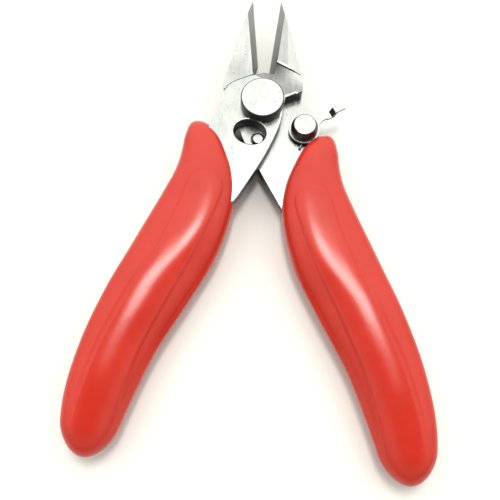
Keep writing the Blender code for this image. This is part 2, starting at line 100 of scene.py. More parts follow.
# The step from the front jaw down to the plate: its line, and the run and drop of its parts
STEP_LEFT = (1.55, 8.4)
STEP_RIGHT = (5.9, 6.7)
SCOOP_RIM = (0.34, 0.05)
SCOOP_WALL = (0.14, 0.34)
SCOOP_RUN = 4.2
# The rear jaw's ramp down to the plate
RAMP_TOP_Y = 21.0
RAMP_RUN = 15.0

# The handles' outer and inner sides, from the boss down
FRONT_OUTER = [(-7.4, -0.6), (-8.1, -3.8), (-9.2, -8.0), (-11.2, -17.0), (-16.4, -45.0)]
FRONT_INNER = [(3.85, 0.1), (3.65, -4.0), (1.9, -10.2), (-0.6, -16.4)]
REAR_OUTER = [(-8.0, -0.7), (-9.9, -5.1), (-10.7, -9.5), (-12.0, -18.0), (-16.4, -45.0)]
REAR_INNER = [(3.85, 0.1), (4.25, -4.0), (3.25, -7.5), (1.95, -10.6), (-0.6, -16.4)]
# The rear arm's inner side at its underside, where it is wider. Its sloped wall takes the dark edge
# tone, a painted shade for the dark gap under the front arm's window
REAR_INNER_LOW = [(3.85, 0.1), (5.5, -4.0), (4.7, -7.5), (2.5, -10.6), (-0.6, -16.4)]
# The inner side in the grip, and the tang's end
TANG_INNER = [(-2.1, -19.6), (-4.2, -22.6), (-6.6, -29.0)]
TANG_END = [(-13.0, -47.0), (-14.0, -48.6), (-16.2, -48.0)]

# The corner cut off the front arm's inner side, which has x above the first value of
# INNER_LINE plus the second times y
INNER_CHAMFER = 0.34
CHAMFER_DROP = 0.13
CHAMFER_TOP_Y = 3.4
INNER_LINE = (3.2, 0.28)

# The boss, from the handle's outer side round to the jaw, and the gap round it
BOSS = [(-7.2, 1.6), (-6.1, 3.3), (-3.1, 5.15), (-0.4, 6.3)]
JOINT_GAP = 0.12

# Pivot rivet and washer
SHANK_R = 2.0
BORE_R = 2.1
HEAD_R = 3.9
HEAD_TOP = 4.3
# The head's rim: how wide the ring of painted shade round its top face is, how far in and down its
# corner starts, and how far down the corner ends
RIM_DARK = 0.22
RIM_EASE = (0.12, 0.02)
RIM_DROP = 0.14
# The tail: its shoulder's share of the radius and height above the end, and its end's share
TAIL_R = 3.1
TAIL_LOW = -4.1
TAIL_SHOULDER = (0.85, 0.3)
TAIL_FACE = 0.6
WASHER_R = 3.9
WASHER_THICK = 0.7
WASHER_ROUND = 0.15
# How far the corners of the turned pieces are rounded
CORNER_ROUND = 0.12

# Stop pin, the sunk ring round it and the front arm's window over it
STOP_AT = (1.15, -6.25)
STOP_R = 1.0
STOP_TOP = 0.5
STOP_RIM = 0.12
MOAT_WIDE = 0.35
MOAT_DEEP = 0.5
WINDOW_AT = (-1.35, -6.1)
WINDOW_HALF = (2.87, 2.3)
WINDOW_TURN = -8.0
WINDOW_ROUND = 0.38

# Lock rivet
LOCK_SHANK_R = 1.2
LOCK_HEAD_R = 2.42
LOCK_FACE_R = 2.02
# How far in and down the rim of the head's face starts
LOCK_RIM = (0.12, 0.06)
LOCK_CHAMFER = 1.0
LOCK_HEAD_TOP = 2.9
LOCK_TAIL_R = 2.0
LOCK_TAIL_FACE = 0.8
LOCK_TAIL_HIGH = 0.85
LOCK_ROUND = 0.1

# Lock lever, from the lock rivet's axis: its eye, its arm and the tab bent up at the arm's end
LEVER_LOW = 0.62
LEVER_HIGH = 1.04
EYE_R = 2.8
EYE_PLAY = 0.1
EYE_ENDS = (84.0, 378.0)
ARM_OUT = [(2.95, 1.35), (3.45, 1.95), (4.2, 2.4), (5.11, 2.71)]
ARM_CORNER = (4.49, 3.79)
ARM_BACK = [(3.5, 3.75), (2.2, 3.35), (0.9, 2.85)]
LEVER_ROUND = 0.08
TAB_FROM = (4.8, 3.25)
TAB_TO = (7.05, 4.55)
TAB_OVERLAP = 1.0
TAB_LENGTH = 2.5
TAB_WIDTH = 1.25
TAB_RISE = 1.1
# Along the tab, for its underside and its top: where it leaves the level and where it is up
TAB_FOOT = (0.35, -0.1)
TAB_CREST = (1.0, 0.55)

# Lock spring
LOCK_WIRE = 0.45
LOCK_COIL_R = 1.95
LOCK_COIL_TURN = 300.0
LOCK_LEG_REACH = 3.6
LOCK_LEG_ANGLE = 249.5
LOCK_LEG_BEND = 0.6

# Grips
GRIP_SLIDE = 1.9
GRIP_CAP = 5.0
GRIP_RINGS = 210
GRIP_SIDES = 192
# The section is a superellipse: its power at the mouth and at the belly, and from where to
# where down the grip it changes
MOUTH_POWER = 2.9
BELLY_POWER = 2.3
BELLY_FROM_TO = (22.0, 34.0)
# The top's slope, up towards the outer side, and from where to where down the grip it sets in
LEAN = 0.13
LEAN_FROM_TO = (25.0, 38.0)
# How much deeper the underside is before the floor cuts it flat
SOLE = 0.45
# The sine of the angle up or down from the grip's sides at which the top's and the
# underside's own shapes are fully there
SIDE_BLEND = 0.5
# Down a grip: y, centre x, half width, half thickness without the pad
GRIP_STATIONS = [
    (-4.4, -10.9, 3.1, 2.7),
    (-8.0, -9.55, 3.5, 3.2),
    (-14.0, -8.15, 5.05, 3.7),
    (-20.0, -8.5, 6.4, 3.9),
    (-29.0, -10.7, 7.3, 4.1),
    (-38.0, -13.9, 7.0, 4.1),
    (-47.0, -16.8, 6.15, 4.05),
    (-56.0, -18.4, 5.2, 3.9),
    (-64.5, -18.7, 3.6, 3.4),
]
# The raised pad on top, and the fine groove at its foot
PAD_HEIGHT = 0.3
PAD_HALF = 3.1
PAD_SHIFT = 0.9
PAD_EDGE = 0.26
PAD_TOP_Y = -15.6
PAD_LOW_Y = -62.0
PAD_FADE = 12.0
PAD_GROOVE = 0.04
PAD_GROOVE_HALF = 0.22

# Tones, each the darkest and the lightest colour of a finish
WHITE = (1.0, 1.0, 1.0)
ARM_TONES = {
    "plate": ((0.325, 0.338, 0.325), (0.375, 0.383, 0.369)),
    "plateau": ((0.265, 0.277, 0.267), (0.305, 0.313, 0.303)),
    "facet": ((0.35, 0.352, 0.33), (0.39, 0.392, 0.37)),
    # Painted highlight: the rim is much lighter than the plate, for the glint along the step's rim
    # and the inner chamfer
    "rim": ((0.5, 0.51, 0.49), (0.56, 0.57, 0.55)),
    # Painted shade: the sweep is about half the plate's tone, for the shade on the sloped sweep
    "sweep": ((0.165, 0.17, 0.167), (0.185, 0.19, 0.186)),
}
# Painted light and shade: the same ground bevel is lighter on the rear arm than on the front one
BEVEL_TONES = {
    "front": ((0.126, 0.1302, 0.1302), (0.154, 0.1568, 0.154)),
    "rear": ((0.1485, 0.15345, 0.15345), (0.1815, 0.1848, 0.1815)),
}
EDGE_TONES = ((0.05, 0.051, 0.054), (0.11, 0.112, 0.114))
RIVET_TONES = ((0.36, 0.367, 0.355), (0.41, 0.412, 0.4))
RIVET_SIDE_TONES = ((0.05, 0.05, 0.053), (0.12, 0.118, 0.118))
WIRE_TONES = ((0.2, 0.2, 0.2), (0.32, 0.31, 0.3))
VINYL_TONES = ((0.43, 0.0225, 0.012), (0.475, 0.028, 0.0155))
FLOOR_TONES = ((0.73, 0.725, 0.697), (0.75, 0.745, 0.712))
# Spots of painted shade by arm and finish, each darker towards a point: on the front arm's plate by
# the shoulder, on its sweep and on the rear jaw's ramp. The place in the drawing, as mirrored for
# the rear arm, the reach that is fully dark, the reach where that ends, and the tone
PAINTED_SHADE_SPOTS = {
    ("front", "plate"): ((5.6, 4.2), 1.8, 4.6, 0.5),
    ("front", "sweep"): ((1.9, 8.1), 0.1, 3.7, 0.2),
    ("rear", "plate"): ((-3.9, 7.2), 0.2, 3.4, 0.78),
}

# Limits of a face's direction and level that tell an arm's finishes apart
BEVEL_LOOKS_X = (-0.995, -0.85)
BEVEL_LOOKS_UP = 0.15
CHAMFER_LOOKS_UP = (0.88, 0.97)
MOAT_LEVELS = (-1.0, -0.1)
EDGE_LOOKS_UP = {"front": 0.9, "rear": 0.925}
TURNED_LOOKS_UP = 0.8
FLAT_LOOKS_UP = 0.95

# Cells per metre of the noises, and the range that a noise mostly keeps to
CLOUDS = 260.0
PITS = 1500.0
PIT_EDGE = (0.66, 0.71)
NOISE_RANGE = (0.3, 0.7)

# Camera, measured from the pivot
CAMERA_LENS = 43.2
CAMERA_DISTANCE = 103.0
CAMERA_TURN = 2.7
CAMERA_TILT = 17.0
LOOK_AT = (-0.9445, -27.3513)

# Floor and light
FLOOR_HALF = 1500.0
FLOOR_DROP = 0.03
SOFTBOX_AT = (6.0, 68.0, 400.0)
SOFTBOX_SIZE = (60.0, 130.0)
SOFTBOX_POWER = 0.82
SOFTBOX_COLOUR = (1.0, 0.975, 0.93)
SKY_COLOUR = (0.975, 0.985, 0.945)
SKY_SOUTH_NORTH = (0.9, 3.35)
SKY_LOW_HIGH = (0.35, 1.07)
# The sky's dark patch: how far it is from overhead, on the handles' side, and how far from
# its middle it starts and is full
PATCH_TILT = 16.0
PATCH_FADE = (44.0, 14.0)


# Outlines: each is a list of (x, y) points


def spline(points):
    """A smooth curve through the points."""
    ends = [points[0], *points, points[-1]]
    curve = []
    for i in range(len(points) - 1):
        a, b, c, d = (Vector(p) for p in ends[i : i + 4])
        for k in range(SPLINE_STEPS):
            t = k / SPLINE_STEPS
            bend = (2 * a - 5 * b + 4 * c - d) * t**2 + (3 * b - a - 3 * c + d) * t**3
            curve.append(tuple((2 * b + (c - a) * t + bend) / 2))
    curve.append(tuple(points[-1]))
    return curve


def arc(centre, radius, start, end, steps):
    angles = [math.radians(start + (end - start) * k / steps) for k in range(steps + 1)]
    return [
        (centre[0] + radius * math.cos(a), centre[1] + radius * math.sin(a)) for a in angles
    ]


def disc(centre, radius):
    return arc(centre, radius, 0.0, 360.0 - 360.0 / ROUND_STEPS, ROUND_STEPS - 1)


def on_circle(radius, angle):
    return Vector((math.cos(math.radians(angle)), math.sin(math.radians(angle)))) * radius


def arm_outline(outer, inner, jaw_root, slide=0.0):
    """The arm seen from above, with its jaw on +X and its handle on -X.

    slide is how much further down the handle its grip and tang sit.
    """
    tang_inner = [(x - slide / 2, y - slide) for x, y in TANG_INNER]
    return [
        (EDGE_X, TIP_Y),
        *spline(JAW_SIDE),
        *SHOULDER,
        *spline([*inner, *tang_inner, TANG_END[0]]),
        *TANG_END[1:],
        *spline(outer)[::-1],
        *spline(BOSS),
        *jaw_root,
    ]


def lap_outline(opening):
    """What the other arm takes up at its own level, with the tool opened so far.

    It is everything below a line that follows the other arm's boss.
    """
    turn = Matrix.Rotation(math.radians(opening), 2)
    joint = []
    for x, y in spline(BOSS):
        spot = turn @ Vector((-x, y))
        joint.append(tuple(spot * (1 + JOINT_GAP / spot.length)))
    right, left = joint[0], joint[-1]
    return [(FAR, right[1]), *joint, (-FAR, left[1]), (-FAR, -2 * FAR), (FAR, -2 * FAR)]


def window_outline(extra=0.0):
    """The oval window in the front arm that the stop pin stands in."""
    turn = Matrix.Rotation(math.radians(WINDOW_TURN), 2)
    half_wide, half_high = (half + extra for half in WINDOW_HALF)
    ring = [turn @ Vector((x * half_wide, y * half_high)) for x, y in disc((0.0, 0.0), 1.0)]
    return [(WINDOW_AT[0] + p.x, WINDOW_AT[1] + p.y) for p in ring]


# Solids, drawn in millimetres


def new_object(name, mesh):
    obj = bpy.data.objects.new(name, mesh)
    bpy.context.scene.collection.objects.link(obj)
    return obj


def to_mesh(name, bm):
    bmesh.ops.recalc_face_normals(bm, faces=bm.faces[:])
    mesh = bpy.data.meshes.new(name)
    bm.to_mesh(mesh)
    bm.free()
    return mesh


def bridge(bm, low, high):
    """The wall between two rings of vertices."""
    for i in range(len(low)):
        j = (i + 1) % len(low)
        bm.faces.new([low[i], low[j], high[j], high[i]])


def loft(name, rings):
    """A solid through rings of (x, y, z) points, closed by a flat face at each end."""
    bm = bmesh.new()
    loops = [[bm.verts.new(point) for point in ring] for ring in rings]
    for low, high in zip(loops, loops[1:]):
        bridge(bm, low, high)
    bm.faces.new(loops[0])
    bm.faces.new(loops[-1])
    return new_object(name, to_mesh(name, bm))


def stack(name, layers):
    """A solid over outlines of equal length, each with its own level."""
    return loft(name, [[(x, y, level) for x, y in outline] for outline, level in layers])


def prism(name, outline, low, high):
    return stack(name, [(outline, low), (outline, high)])


def swept_profile(name, profile, start, end, reach):
    """A solid of constant profile along the line from start to end, run on by reach both ways.

    The profile's points are (how far to the line's right, height).
    """
    along = (Vector(end) - Vector(start)).normalized()
    right = Vector((along.y, -along.x))
    rings = []
    for base in (Vector(start) - along * reach, Vector(end) + along * reach):
        rings.append([(*(base + right * across), height) for across, height in profile])
    return loft(name, rings)


def turned(name, profile):
    """A solid of revolution about Z from (radius, height) points that start and end on the axis."""
    rings = []
    for radius, height in profile[1:-1]:
        rings.append([(x, y, height) for x, y in disc((0.0, 0.0), radius)])
    return loft(name, rings)


def wire(name, points, diameter):
    """A round wire through the points, with flat ends."""
    curve = bpy.data.curves.new(name, "CURVE")
    curve.dimensions = "3D"
    curve.bevel_depth = diameter / 2
    curve.bevel_resolution = WIRE_RESOLUTION
    curve.use_fill_caps = True
    path = curve.splines.new("POLY")
    path.points.add(len(points) - 1)
    for spot, point in zip(path.points, points):
        spot.co = (*point, 1.0)
    drawn = new_object(name, curve)
    mesh = evaluated(drawn)
    bpy.data.objects.remove(drawn, do_unlink=True)
    return new_object(name, mesh)


def evaluated(obj):
    graph = bpy.context.evaluated_depsgraph_get()
    return bpy.data.meshes.new_from_object(obj.evaluated_get(graph))


def flip(mesh):
    """Mirrors the drawing, left to right."""
    bm = bmesh.new()
    bm.from_mesh(mesh)
    bmesh.ops.transform(bm, matrix=Matrix.Diagonal((-1, 1, 1, 1)), verts=bm.verts[:])
    bmesh.ops.reverse_faces(bm, faces=bm.faces[:])
    bm.to_mesh(mesh)
    bm.free()


def combine(obj, others, operation="DIFFERENCE"):
    """Cuts the others from the solid, or joins them to it, and removes them."""
    for other in others:
        modifier = obj.modifiers.new(other.name, "BOOLEAN")
        modifier.operation = operation
        modifier.solver = "EXACT"
        modifier.object = other
    obj.data = evaluated(obj)
    obj.modifiers.clear()
    for other in others:
        bpy.data.objects.remove(other, do_unlink=True)
    return obj


def merge_flat_faces(bm):
    """Joins the faces that lie in one plane, so that only real edges are left."""
    bmesh.ops.dissolve_limit(
        bm, angle_limit=math.radians(FLAT_ANGLE), verts=bm.verts[:], edges=bm.edges[:]
    )


def rounded(obj, width):
    """Rounds the solid's sharp edges."""
    bm = bmesh.new()
    bm.from_mesh(obj.data)
    merge_flat_faces(bm)
    bmesh.ops.remove_doubles(bm, verts=bm.verts[:], dist=MERGE_DISTANCE)
    bm.to_mesh(obj.data)
    bm.free()
    modifier = obj.modifiers.new("round", "BEVEL")
    modifier.width = width
    modifier.segments = 2
    modifier.limit_method = "ANGLE"
    modifier.angle_limit = math.radians(SHARP_ANGLE)
    obj.data = evaluated(obj)
    obj.modifiers.clear()
    return obj


# Materials


def start_material(name):
    made = bpy.data.materials.new(name)
    made.use_nodes = True
    return made, made.node_tree, made.node_tree.nodes["Principled BSDF"]


def noise_field(tree, scale, detail=4.0, roughness=0.55, turn=0.0):
    """A noise over the piece. scale gives cells per metre along X, Y and Z."""
    spot = tree.nodes.new("ShaderNodeTexCoord")
    mapping = tree.nodes.new("ShaderNodeMapping")
    mapping.inputs["Rotation"].default_value = (0.0, 0.0, math.radians(turn))
    mapping.inputs["Scale"].default_value = scale
    field = tree.nodes.new("ShaderNodeTexNoise")
    field.inputs["Scale"].default_value = 1.0
    field.inputs["Detail"].default_value = detail
    field.inputs["Roughness"].default_value = roughness
    tree.links.new(spot.outputs["Object"], mapping.inputs["Vector"])
    tree.links.new(mapping.outputs["Vector"], field.inputs["Vector"])
    return field.outputs[0]


def ramp(tree, value, positions, colours):
    """A colour ramp between two colours at two positions."""
    node = tree.nodes.new("ShaderNodeValToRGB")
    for element, position, colour in zip(node.color_ramp.elements, positions, colours):
        element.position = position
        element.color = (*colour, 1.0)
    tree.links.new(value, node.inputs["Fac"])
    return node.outputs["Color"]


def spread(tree, value, low, high, start=NOISE_RANGE[0], end=NOISE_RANGE[1]):
    """Maps start to end onto low to high."""
    node = tree.nodes.new("ShaderNodeMapRange")
    node.inputs["From Min"].default_value = start
    node.inputs["From Max"].default_value = end
    node.inputs["To Min"].default_value = low
    node.inputs["To Max"].default_value = high
    tree.links.new(value, node.inputs["Value"])
    return node.outputs["Result"]


def multiply(tree, a, b):
    node = tree.nodes.new("ShaderNodeMix")
    node.data_type = "RGBA"
    node.blend_type = "MULTIPLY"
    node.inputs["Factor"].default_value = 1.0
    tree.links.new(a, node.inputs["A"])
    tree.links.new(b, node.inputs["B"])
    return node.outputs["Result"]


def bump(tree, height, strength, distance):
    node = tree.nodes.new("ShaderNodeBump")
    node.inputs["Strength"].default_value = strength
    node.inputs["Distance"].default_value = distance
    tree.links.new(height, node.inputs["Height"])
    return node.outputs["Normal"]


def painted_shade_spot(tree, point, near, far, darkest):
    """A painted shade: a tone that is darkest up to near from the point and white from far on."""
    spot = tree.nodes.new("ShaderNodeTexCoord")
    away = tree.nodes.new("ShaderNodeVectorMath")
    away.operation = "DISTANCE"
    away.inputs[1].default_value = point
    tree.links.new(spot.outputs["Object"], away.inputs[0])
    share = spread(tree, away.outputs["Value"], 0.0, 1.0, near, far)
    return ramp(tree, share, (0.0, 1.0), ((darkest,) * 3, WHITE))


def steel(name, tones, rough, grain, turn=0.0, depth=0.000004, specks=0.0, painted_shade=None):
    """Steel with a grain along one direction, cloudy tone and, if asked, small dark pits.

    tones and rough are ranges. specks is the pits' tone, and the last argument the measures of a
    spot of painted shade.
    """
    made, tree, shader = start_material(name)
    shader.inputs["Metallic"].default_value = 1.0
    lines = noise_field(tree, grain, 6.0, 0.65, turn)
    clouds = noise_field(tree, (CLOUDS,) * 3, 3.0)
    tone = ramp(tree, clouds, NOISE_RANGE, tones)
    colour = multiply(tree, tone, ramp(tree, lines, (0.25, 0.6), ((0.86,) * 3, WHITE)))
    if specks:
        pits = noise_field(tree, (PITS,) * 3, 2.0)
        colour = multiply(tree, colour, ramp(tree, pits, PIT_EDGE, (WHITE, (specks,) * 3)))
    # Painted shade, darkest near a point
    if painted_shade:
        colour = multiply(tree, colour, painted_shade_spot(tree, *painted_shade))
    tree.links.new(colour, shader.inputs["Base Color"])
    tree.links.new(spread(tree, lines, *rough), shader.inputs["Roughness"])
    tree.links.new(bump(tree, lines, 0.5, depth), shader.inputs["Normal"])
    return made


def vinyl(name):
    """Glossy dipped vinyl, slightly mottled, with a few dust marks and a faint orange-peel skin."""
    made, tree, shader = start_material(name)
    shader.inputs["IOR"].default_value = 1.5
    shader.inputs["Subsurface Weight"].default_value = 0.06
    shader.inputs["Subsurface Radius"].default_value = (0.0012, 0.0003, 0.0002)
    shader.inputs["Subsurface Scale"].default_value = 1.0
    shader.inputs["Specular IOR Level"].default_value = 0.3
    clouds = noise_field(tree, (120.0,) * 3, 3.0)
    skin = noise_field(tree, (900.0,) * 3, 2.0)
    dust = noise_field(tree, (1400.0,) * 3, 1.0)
    tone = ramp(tree, clouds, NOISE_RANGE, VINYL_TONES)
    motes = ramp(tree, dust, (0.12, 0.16), ((0.6,) * 3, WHITE))
    tree.links.new(multiply(tree, tone, motes), shader.inputs["Base Color"])
    tree.links.new(spread(tree, clouds, 0.17, 0.22), shader.inputs["Roughness"])
    tree.links.new(bump(tree, skin, 0.25, 0.00002), shader.inputs["Normal"])
    return made


def arm_finishes(side, to_world):
    """The finishes of one arm, with their grain along the turned arm."""
    turn = OPENING / 2 if side == "front" else -OPENING / 2
    finishes = {}
    for part, tones in ARM_TONES.items():
        painted_shade = None
        # A spot of painted shade darkens this finish where one is listed
        if (side, part) in PAINTED_SHADE_SPOTS:
            at, near, far, darkest = PAINTED_SHADE_SPOTS[side, part]
            point = to_world @ (Vector((*at, PLATE)) * MM)
            painted_shade = (point, near * MM, far * MM, darkest)
        finishes[part] = steel(
            f"{side}_{part}", tones, (0.2, 0.3), (2500.0, 300.0, 900.0), turn,
            specks=0.7, painted_shade=painted_shade,
        )
    finishes["bevel"] = steel(
        f"{side}_bevel", BEVEL_TONES[side], (0.3, 0.42), (5000.0, 150.0, 5000.0), turn,
        depth=0.000006,
    )
    finishes["edge"] = steel(
        f"{side}_edge", EDGE_TONES, (0.32, 0.5), (3000.0, 3000.0, 300.0), turn, depth=0.00001
    )
    return finishes


def turned_finishes():
    """The finishes of the rivets, the washer, the pin and the lever."""
    return {
        "plate": steel("rivet_face", RIVET_TONES, (0.2, 0.28), (900.0,) * 3, specks=0.6),
        "edge": steel(
            "rivet_side", RIVET_SIDE_TONES, (0.3, 0.45), (400.0, 400.0, 4000.0), depth=0.000008
        ),
    }


def assign(obj, materials, choose):
    """Gives each face the material that choose(normal, centre) names."""
    mesh = obj.data
    names = list(materials)
    mesh.materials.clear()
    for name in names:
        mesh.materials.append(materials[name])
    for face in mesh.polygons:
        face.material_index = names.index(choose(face.normal, face.center))


# Placing


def place(obj, to_world, body, node, sharp=30.0, flat=True):
    """Puts the drawn piece in the world, shades it and ties it to its body.

    Edges past the sharp angle stay sharp. flat keeps the large faces' shading level up to
    their rounded edges.
    """
    obj.data.transform(to_world @ Matrix.Scale(MM, 4))
    obj.data.shade_smooth()
    obj.data.set_sharp_from_angle(angle=math.radians(sharp))
    if flat:
        modifier = obj.modifiers.new("normals", "WEIGHTED_NORMAL")
        modifier.keep_sharp = True
        obj.data = evaluated(obj)
        obj.modifiers.clear()
    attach(obj, body)
    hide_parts(node)


# Arms


def bevel_profile(low):
    """The bevel's cutter, seen along the cutting edge: across, height."""
    slope = BEVEL_WIDTH / (JAW_TOP - low)
    return [
        (EDGE_X - slope * OVERRUN, low - OVERRUN),
        (EDGE_X + BEVEL_WIDTH + slope * OVERRUN, JAW_TOP + OVERRUN),
        (-FAR, JAW_TOP + OVERRUN),
        (-FAR, low - OVERRUN),
    ]


def scoop_profile(above):
    """A short wall under the jaw's top, then a concave sweep down to the level plate."""
    rim_run, rim_drop = SCOOP_RIM
    wall_run, wall_drop = SCOOP_WALL
    run = SCOOP_RUN - wall_run
    drop = JAW_TOP - wall_drop - PLATE
    radius = (run**2 + drop**2) / (2 * drop)
    sweep = []
    for k in range(PROFILE_STEPS + 1):
        left = run * (1 - k / PROFILE_STEPS)
        sweep.append((SCOOP_RUN - left, PLATE + radius - math.sqrt(radius**2 - left**2)))
    rim = [(-rim_run, above), (-rim_run, JAW_TOP), (0.0, JAW_TOP - rim_drop)]
    return [*rim, *sweep, (FAR, PLATE), (FAR, above)]


def ramp_profile(above):
    """A soft ramp from the jaw's top down to the plate, round at both ends."""
    eased = []
    for k in range(1, PROFILE_STEPS + 1):
        t = k / PROFILE_STEPS
        eased.append((RAMP_RUN * t, JAW_TOP - (JAW_TOP - PLATE) * smooth_step(t, 0.0, 1.0)))
    return [(-HAIR, JAW_TOP + HAIR), *eased, (FAR, PLATE), (FAR, above), (-HAIR, above)]


def jaw_cutters():
    """The bevel along the cutting edge and the shallow facet outside the jaw's flat top."""
    facet_profile = [
        (0.0, JAW_TOP),
        (0.0, JAW_TOP + OVERRUN),
        (FACET_REACH, JAW_TOP + OVERRUN),
        (FACET_REACH, JAW_TOP - FACET_REACH * FACET_SLOPE),
    ]
    foot, tip = (0.0, BEVEL_FOOT_Y), (0.0, TIP_Y)
    return [
        swept_profile("bevel_cut", bevel_profile(-PLATE), foot, tip, OVERRUN),
        swept_profile("facet_cut", facet_profile, FACET_FOOT, FACET_TOP, FACET_REACH),
    ]


def arm_face(side, normal, centre):
    """The finish of one face of an arm, by where it is and where it looks."""
    front = side == "front"
    low, high = BEVEL_LOOKS_X
    if centre.y > BEVEL_FOOT_Y - OVERRUN and low < normal.x < high and normal.z > BEVEL_LOOKS_UP:
        return "bevel"
    low, high = CHAMFER_LOOKS_UP
    on_chamfer = PLATE - CHAMFER_DROP < centre.z < PLATE and low < normal.z < high
    # The inner chamfer takes the light rim tone, a painted highlight
    if front and on_chamfer and centre.y < CHAMFER_TOP_Y:
        return "rim"
    # The moat's faces, its floor too, take the dark edge tone: painted shade in the ring round the
    # stop pin
    low, high = MOAT_LEVELS
    in_moat = not front and low < centre.z < high
    if in_moat or abs(normal.z) < EDGE_LOOKS_UP[side]:
        return "edge"
    if not front:
        return "plate"
    if centre.z > JAW_TOP - HAIR:
        return "plateau"
    step = Vector(STEP_RIGHT) - Vector(STEP_LEFT)
    above_step = step.normalized().cross(centre.xy - Vector(STEP_LEFT))
    if above_step > 0:
        # The strip along the step's rim takes the light rim tone, a painted highlight
        return "rim" if above_step < SCOOP_RIM[0] else "facet"
    # The sweep takes its dark tone, a painted shade
    swept = centre.y > 0 and above_step > -SCOOP_RUN and centre.z > PLATE / 2
    return "sweep" if swept else "plate"


def on_inner_edge(edge):
    """Whether the edge is a top corner of the front arm's inner side, below the shoulder."""
    near_top = 0.03
    bent = 1.0
    on_top = all(abs(vert.co.z - PLATE) < near_top for vert in edge.verts)
    middle = (edge.verts[0].co + edge.verts[1].co) / 2
    inner = middle.x > INNER_LINE[0] + INNER_LINE[1] * middle.y
    corner = abs(edge.calc_face_angle(0)) > bent
    return on_top and inner and middle.y < CHAMFER_TOP_Y and corner


def chamfer_inner_edge(mesh):
    """Cuts the top corner off the front arm's inner side, from below the shoulder down."""
    bm = bmesh.new()
    bm.from_mesh(mesh)
    merge_flat_faces(bm)
    chosen = [edge for edge in bm.edges if on_inner_edge(edge)]
    cut = bmesh.ops.bevel(bm, geom=chosen, offset=INNER_CHAMFER, segments=1, affect="EDGES")
    for vert in cut["verts"]:
        if vert.co.z < PLATE - INNER_CHAMFER / 2:
            vert.co.z = PLATE - CHAMFER_DROP
    bm.to_mesh(mesh)
    bm.free()


def window_cutter():
    """The window's hole, with a round rim at the plate's top."""
    layers = [(window_outline(), -OVERRUN)]
    for k in range(RIM_STEPS + 1):
        turn = math.pi / 2 * k / RIM_STEPS
        grow = WINDOW_ROUND * (1 - math.cos(turn))
        layers.append((window_outline(grow), PLATE - WINDOW_ROUND * (1 - math.sin(turn))))
    layers.append((window_outline(WINDOW_ROUND), PLATE + OVERRUN))
    return stack("window_cut", layers)


def front_arm():
    """The arm on top: left handle and right jaw."""
    above = JAW_TOP + OVERRUN
    outline = arm_outline(FRONT_OUTER, FRONT_INNER, FRONT_JAW_ROOT)
    obj = prism("front_arm_fine", outline, -PLATE, JAW_TOP)
    cutters = [
        prism("lap_open", lap_outline(OPENING), -PLATE - OVERRUN, LAP),
        prism("lap_closed", lap_outline(0.0), -PLATE - OVERRUN, LAP),
        swept_profile("scoop_cut", scoop_profile(above), STEP_LEFT, STEP_RIGHT, FAR),
        *jaw_cutters(),
        prism("bore", disc((0.0, 0.0), BORE_R), -above, above),
    ]
    combine(obj, cutters)
    chamfer_inner_edge(obj.data)
    rounded(obj, EDGE_ROUND)
    return combine(obj, [window_cutter()])


def rear_arm():
    """The arm below: right handle and left jaw, drawn before it is mirrored."""
    above = JAW_TOP + OVERRUN
    outline = arm_outline(REAR_OUTER, REAR_INNER, REAR_JAW_ROOT, GRIP_SLIDE)
    wider = arm_outline(REAR_OUTER, REAR_INNER_LOW, REAR_JAW_ROOT, GRIP_SLIDE)
    obj = stack("rear_arm_fine", [(wider, -PLATE), (outline, -LAP), (outline, JAW_TOP)])
    ramp_top, level = (0.0, RAMP_TOP_Y), (OVERRUN, RAMP_TOP_Y)
    cutters = [
        prism("lap_open", lap_outline(OPENING), -LAP, above),
        prism("lap_closed", lap_outline(0.0), -LAP, above),
        prism("moat", disc(STOP_AT, STOP_R + MOAT_WIDE), -MOAT_DEEP, above),
        swept_profile("ramp_cut", ramp_profile(above), ramp_top, level, FAR),
        *jaw_cutters(),
        prism("bore", disc((0.0, 0.0), BORE_R), -above, above),
    ]
    combine(obj, cutters)
    return rounded(obj, EDGE_ROUND)


# Rivets, washer and pin


def softened(profile, radius=CORNER_ROUND):
    """The profile with its corners rounded, over less than half of the shorter side."""
    most = 0.45
    curve = [profile[0]]
    for before, corner, after in zip(profile, profile[1:], profile[2:]):
        corner, ends = Vector(corner), (Vector(before), Vector(after))
        reach = min(radius, *((end - corner).length * most for end in ends))
        a, b = (corner + (end - corner).normalized() * reach for end in ends)
        for k in range(CORNER_STEPS + 1):
            t = k / CORNER_STEPS
            curve.append(tuple(a * (1 - t) ** 2 + corner * 2 * t * (1 - t) + b * t**2))
    curve.append(profile[-1])
    return curve


def pivot_rivet():
    """The flat head, the shank through both arms and the tail under the washer."""
    under_head = PLATE + SEAT
    over_tail = -PLATE - WASHER_THICK - SEAT * 2
    shoulder_share, shoulder_high = TAIL_SHOULDER
    profile = [
        (0.0, HEAD_TOP),
        (HEAD_R - RIM_DARK, HEAD_TOP),
        (HEAD_R - RIM_EASE[0], HEAD_TOP - RIM_EASE[1]),
        (HEAD_R, HEAD_TOP - RIM_DROP),
        (HEAD_R, under_head),
        (SHANK_R, under_head),
        (SHANK_R, over_tail),
        (TAIL_R, over_tail),
        (TAIL_R * shoulder_share, TAIL_LOW + shoulder_high),
        (TAIL_R * TAIL_FACE, TAIL_LOW),
        (0.0, TAIL_LOW),
    ]
    return turned("pivot_rivet_fine", softened(profile))


def pivot_washer():
    high = -PLATE - SEAT
    low = high - WASHER_THICK
    outer = softened([(0.0, high), (WASHER_R, high), (WASHER_R, low)], WASHER_ROUND)
    obj = turned("pivot_washer_fine", [*outer, (0.0, low)])
    bore = prism("washer_bore", disc((0.0, 0.0), BORE_R), low - OVERRUN, high + OVERRUN)
    return combine(obj, [bore])


def stop_pin():
    foot = -PLATE - SEAT
    profile = [
        (0.0, STOP_TOP),
        (STOP_R - STOP_RIM, STOP_TOP),
        (STOP_R, STOP_TOP - STOP_RIM),
        (STOP_R, foot),
        (0.0, foot),
    ]
    return turned("stop_pin_fine", softened(profile))


